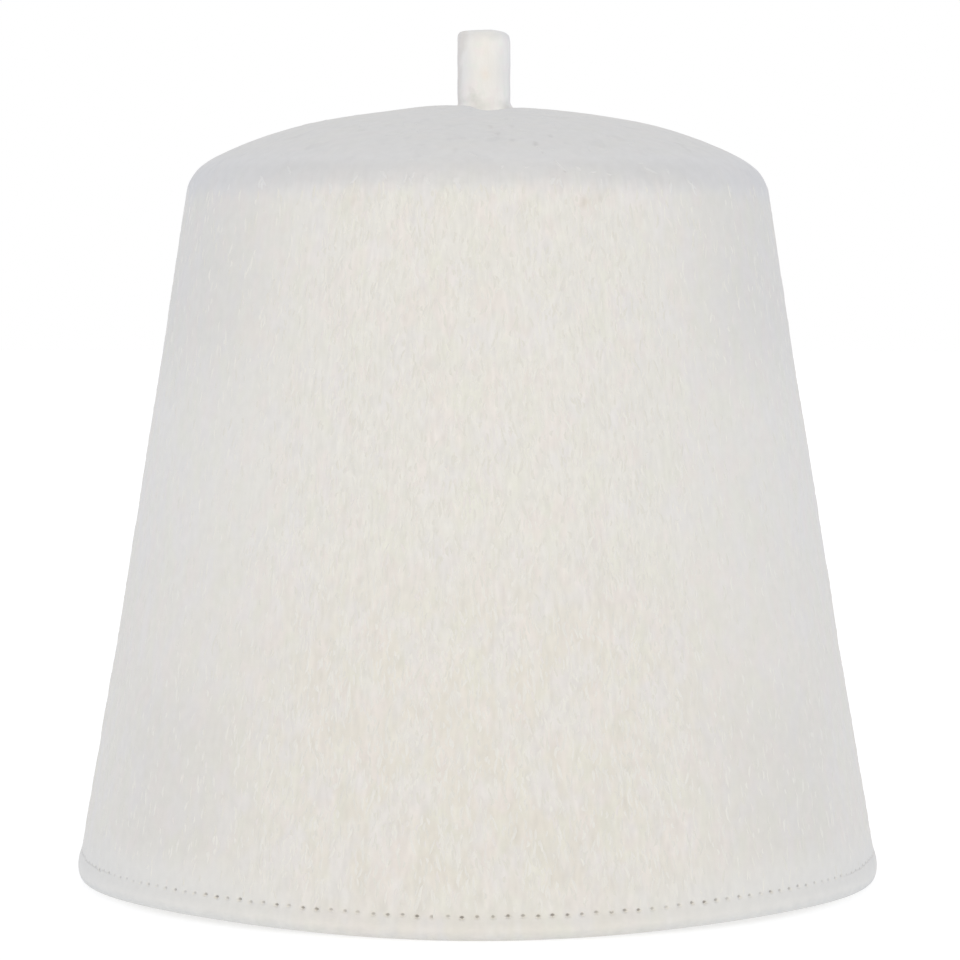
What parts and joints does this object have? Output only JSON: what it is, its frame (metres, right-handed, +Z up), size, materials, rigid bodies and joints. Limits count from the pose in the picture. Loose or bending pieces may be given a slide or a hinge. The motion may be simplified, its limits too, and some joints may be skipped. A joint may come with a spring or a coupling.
{
  "type": "fez",
  "caption": "Plain cream felt fez: a tapered hollow felt cap with a low domed crown, a turned-in stitched hem and a short felt stalk on top.",
  "frame": {"origin": "centre of the hem's foot, on the plane that the fez rests on", "axes": "+Z up through the crown; -Y is the front, the side that the picture shows; +X is to the right as seen from the front"},
  "size_m": [0.194, 0.194, 0.2047],
  "materials": {
    "cap_felt": "matte",
    "stalk_felt": "matte",
    "hem_thread": "satin"
  },
  "bodies": {
    "root": {"felt_cap": "cap_felt", "stalk": "stalk_felt"}
  },
  "joints": []
}
